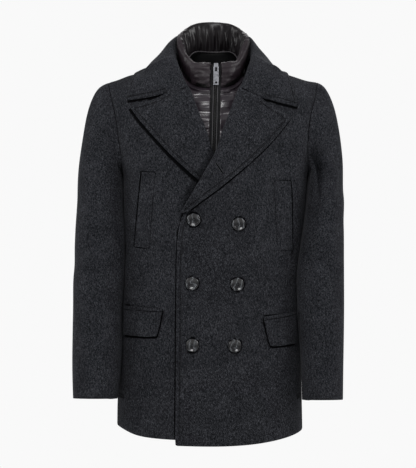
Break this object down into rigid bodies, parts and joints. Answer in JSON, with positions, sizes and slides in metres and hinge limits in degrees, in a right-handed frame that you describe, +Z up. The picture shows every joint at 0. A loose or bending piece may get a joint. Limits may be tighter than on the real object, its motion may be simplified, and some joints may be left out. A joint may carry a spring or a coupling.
{
  "type": "double-breasted coat",
  "caption": "Hollow short wool coat with wide turned collar and lapels, long sleeves, slanted and flapped pockets and a quilted neck insert closed by a zip",
  "frame": {"origin": "Where the coat hangs on its wearer: midway between the two points where the shoulder seams meet the neckline.", "axes": "+X is toward the wearer's left side, +Y is toward the wearer's back and +Z is up along the hanging coat."},
  "size_m": [0.5593, 0.2685, 0.8746],
  "materials": {
    "wool": "dense felted wool, matt charcoal with a soft nap",
    "nylon": "thin padded nylon with a silky sheen",
    "tape": "closely woven matt tape",
    "horn": "polished horn-like resin with pale swirls",
    "zip_metal": "plated metal, satin"
  },
  "bodies": {
    "coat": {"front_left": "wool", "front_right": "wool", "back": "wool", "sleeve_left_top": "wool", "sleeve_left_under": "wool", "sleeve_right_top": "wool", "sleeve_right_under": "wool", "lapel_left": "wool", "lapel_right": "wool", "collar": "wool", "chest_welt_left": "wool", "chest_welt_right": "wool", "pocket_jet_left": "wool", "pocket_jet_right": "wool", "pocket_flap_left": "wool", "pocket_flap_right": "wool", "insert_collar": "nylon", "insert_front_left": "nylon", "insert_front_right": "nylon", "insert_back": "nylon", "zip_tape_left": "tape", "zip_tape_right": "tape", "zip_slider": "zip_metal", "button_1": "horn", "button_2": "horn", "button_3": "horn", "button_4": "horn", "button_5": "horn", "button_6": "horn"},
    "pull_tab": {"zip_pull_tab": "zip_metal"}
  },
  "joints": [
    {"name": "pull_tab_swing", "type": "hinge", "parent": "coat", "child": "pull_tab", "pos_m": [0.01319, -0.08146, -0.0205], "axis": [-1, 0, 0], "range_deg": [0, 120]}
  ]
}
